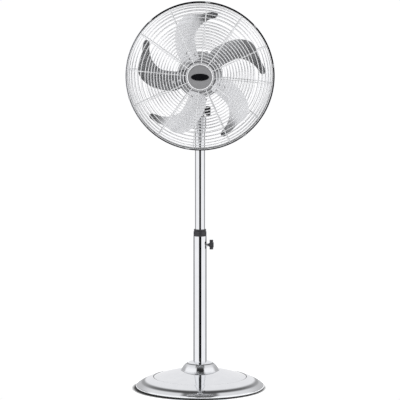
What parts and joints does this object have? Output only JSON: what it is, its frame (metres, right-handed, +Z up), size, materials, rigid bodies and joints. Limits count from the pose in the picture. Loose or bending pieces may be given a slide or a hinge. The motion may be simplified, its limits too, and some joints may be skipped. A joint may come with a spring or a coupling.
{
  "type": "pedestal fan",
  "caption": "Floor-standing fan with a round chromed base, telescopic pole, wire-guarded tilting and swinging head and swept metal blades.",
  "frame": {"origin": "on the floor on the pole's axis, at the middle of the base's underside", "axes": "+Z up along the pole, -Y the way the fan blows, +X to the right of someone who faces the front of the fan"},
  "size_m": [0.4499, 0.398, 1.1996],
  "materials": {
    "polished_chrome": "mirror-polished chrome plate",
    "guard_chrome": "chrome-plated wire",
    "black_plastic": "moulded black plastic, fine texture",
    "bright_casting": "chrome-plated casting and pressing",
    "black_enamel": "semi-gloss black enamel",
    "black_rubber": "soft black rubber",
    "cast_weight": "rough cast iron, painted dark",
    "plain_steel": "zinc-plated steel",
    "laminated_steel": "stacked electrical steel",
    "copper_winding": "enamelled copper wire",
    "white_nylon": "natural nylon",
    "switch_body": "dark phenolic",
    "blade_metal": "satin aluminium sheet",
    "spider_steel": "dark plated steel",
    "rivet_metal": "bright aluminium rivets",
    "badge_light": "bright chromed bezel",
    "badge_satin": "circular brushed satin metal",
    "badge_dark": "gloss black enamel plaque, plain"
  },
  "bodies": {
    "stand": {"base_cover": "polished_chrome", "base_weight": "cast_weight", "base_plate": "plain_steel", "base_ring": "black_rubber", "escutcheon": "polished_chrome", "pole_plug": "plain_steel", "pole_bolt": "plain_steel", "lower_tube": "polished_chrome", "clamp_collar": "black_plastic", "clamp_boss": "plain_steel"},
    "height_clamp": {"height_knob": "black_plastic", "height_screw": "plain_steel"},
    "mast": {"upper_tube": "polished_chrome", "mast_bush": "white_nylon", "neck_socket": "bright_casting", "neck_screw": "plain_steel", "tilt_bolt": "plain_steel"},
    "tilt_clamp": {"tilt_knob": "black_plastic"},
    "yoke": {"tilt_yoke": "bright_casting", "pivot_pin": "plain_steel", "pivot_washer": "white_nylon"},
    "head": {"pivot_boss": "bright_casting", "motor_front_cover": "bright_casting", "motor_rear_cover": "bright_casting", "stator_core": "laminated_steel", "windings": "copper_winding", "front_bearing": "plain_steel", "rear_bearing": "plain_steel", "gearbox_housing": "black_enamel", "gearbox_lid": "black_enamel", "capacitor": "white_nylon", "speed_switch": "switch_body", "cord_gland": "black_plastic", "housing_screws": "plain_steel", "rear_guard": "guard_chrome", "guard_nut": "black_plastic", "front_guard": "guard_chrome", "trim_ring": "guard_chrome", "guard_clips": "guard_chrome", "badge_bezel": "badge_light", "badge_disc": "badge_satin", "badge_plaque": "badge_dark"},
    "rotor": {"motor_shaft": "plain_steel", "rotor_core": "laminated_steel", "blade_spider": "spider_steel", "blade_1": "blade_metal", "blade_2": "blade_metal", "blade_3": "blade_metal", "blade_4": "blade_metal", "blade_5": "blade_metal", "blade_rivets": "rivet_metal", "hub_nut": "spider_steel"},
    "swing_clutch": {"osc_knob": "black_plastic"},
    "speed_control": {"speed_knob": "black_plastic"},
    "reduction_wheel": {"worm_wheel": "white_nylon"},
    "crank_arm": {"crank": "plain_steel"},
    "swing_link": {"link_rod": "plain_steel"}
  },
  "joints": [
    {"name": "height_slide", "type": "slide", "parent": "stand", "child": "mast", "axis": [0, 0, 1], "range_m": [-0.2, 0.12]},
    {"name": "height_clamp_turn", "type": "hinge", "parent": "stand", "child": "height_clamp", "pos_m": [0.03, 0, 0.447], "axis": [1, 0, 0], "range_deg": [-270, 0]},
    {"name": "tilt", "type": "hinge", "parent": "mast", "child": "yoke", "pos_m": [0, 0, 0.861], "axis": [-1, 0, 0], "range_deg": [-10, 25]},
    {"name": "tilt_clamp_turn", "type": "hinge", "parent": "mast", "child": "tilt_clamp", "pos_m": [0.025, 0, 0.861], "axis": [1, 0, 0], "range_deg": [-270, 0]},
    {"name": "swing", "type": "hinge", "parent": "yoke", "child": "head", "pos_m": [0, 0, 0.9], "axis": [0, 0, 1], "range_deg": [-40, 40]},
    {"name": "rotor_spin", "type": "hinge", "parent": "head", "child": "rotor", "pos_m": [0, -0.112, 0.974], "axis": [0, -1, 0], "continuous": true},
    {"name": "swing_clutch_pull", "type": "slide", "parent": "head", "child": "swing_clutch", "axis": [0, 0, 1], "range_m": [-0.006, 0]},
    {"name": "speed_select", "type": "hinge", "parent": "head", "child": "speed_control", "pos_m": [-0.02, 0.12, 0.964], "axis": [0, 1, 0], "range_deg": [0, 120]},
    {"name": "wheel_spin", "type": "hinge", "parent": "head", "child": "reduction_wheel", "pos_m": [0.02, 0.088, 0.974], "axis": [0, 0, 1], "continuous": true},
    {"name": "crank_turn", "type": "hinge", "parent": "head", "child": "crank_arm", "pos_m": [0.02, 0.088, 0.92], "axis": [0, 0, 1], "range_deg": [-40, 40]},
    {"name": "link_turn", "type": "hinge", "parent": "yoke", "child": "swing_link", "pos_m": [0, 0.026, 0.909], "axis": [0, 0, 1], "range_deg": [-40, 40]}
  ],
  "couplings": [
    {"joint": "wheel_spin", "follows": "rotor_spin", "ratio": 0.041667},
    {"joint": "crank_turn", "follows": "swing", "ratio": -1},
    {"joint": "link_turn", "follows": "swing", "ratio": 1}
  ]
}
